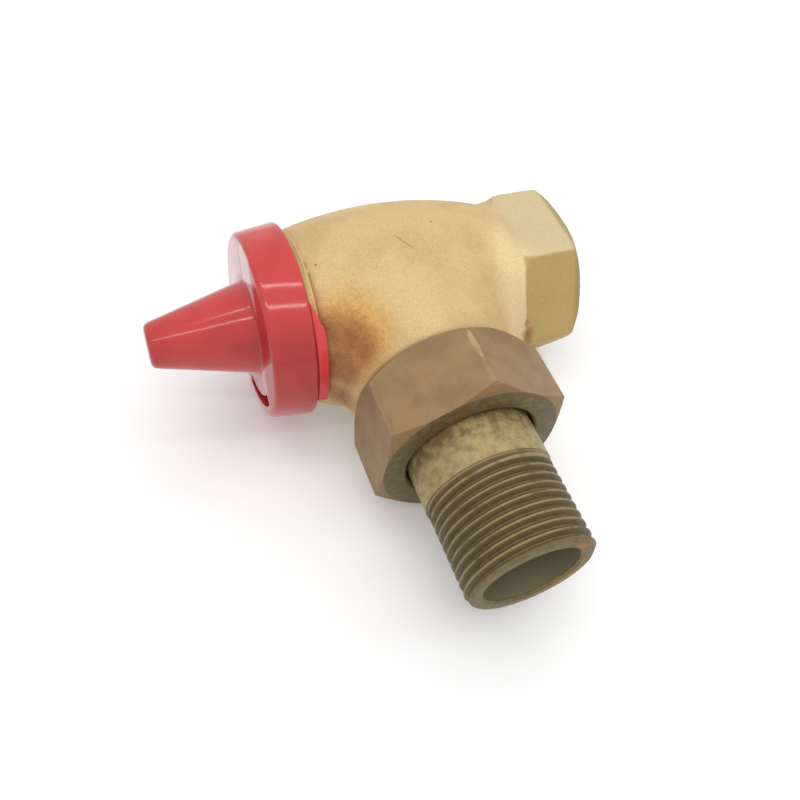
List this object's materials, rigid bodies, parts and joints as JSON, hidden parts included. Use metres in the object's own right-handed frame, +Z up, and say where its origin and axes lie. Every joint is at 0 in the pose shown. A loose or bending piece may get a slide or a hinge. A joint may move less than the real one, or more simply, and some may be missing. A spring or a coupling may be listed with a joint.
{
  "type": "angle radiator valve",
  "caption": "Brass angle radiator valve with a threaded inlet in line with its stem, a red push-on protective cap, and a side outlet with union nut and threaded tailpiece.",
  "frame": {"origin": "centre of the inlet's mouth", "axes": "+X out of the inlet along the stem axis, -Y out of the tailpiece, +Z up with the valve lying on a bench"},
  "size_m": [0.0749, 0.0743, 0.0346],
  "materials": {
    "cast_brass": "sand-blasted casting with patches of brown tarnish",
    "nut_brass": "brown satin tarnish with worn bright corners",
    "tail_brass": "mottled pale shank and dark olive thread",
    "turned_brass": "bright turned",
    "red_plastic": "glossy moulded",
    "black_rubber": "matte moulded",
    "stainless_steel": "ground and polished",
    "white_plastic": "turned low-friction plastic"
  },
  "bodies": {
    "valve": {"valve_body": "cast_brass", "insert_housing": "turned_brass", "insert_o_ring": "black_rubber", "gland_nut": "turned_brass", "gland_o_ring": "black_rubber", "pin_o_ring": "black_rubber", "guide_bush": "white_plastic"},
    "cap": {"protective_cap": "red_plastic"},
    "tail": {"tailpiece": "tail_brass", "union_o_ring": "black_rubber"},
    "nut": {"union_nut": "nut_brass"},
    "stem": {"pressure_pin": "stainless_steel", "spindle": "stainless_steel", "retaining_clip": "stainless_steel", "spring_cup": "turned_brass", "return_spring": "stainless_steel", "valve_cone": "turned_brass", "seat_disc": "black_rubber", "disc_washer": "turned_brass", "disc_nut": "turned_brass"}
  },
  "joints": [
    {"name": "cap_pull", "type": "slide", "parent": "valve", "child": "cap", "axis": [-1, 0, 0], "range_m": [0, 0.03]},
    {"name": "union_draw", "type": "slide", "parent": "valve", "child": "tail", "axis": [0, -1, 0], "range_m": [0, 0.01]},
    {"name": "nut_turn", "type": "hinge", "parent": "tail", "child": "nut", "pos_m": [-0.0305, -0.028, 0], "axis": [0, -1, 0], "range_deg": [0, 1990]},
    {"name": "stem_press", "type": "slide", "parent": "valve", "child": "stem", "axis": [1, 0, 0], "range_m": [0, 0.0022], "stiffness_N_per_m": 4000, "springref_m": -0.004, "deforming": ["return_spring"]}
  ],
  "couplings": [
    {"joint": "nut_turn", "follows": "union_draw", "rad_per_m": 3463.7}
  ]
}
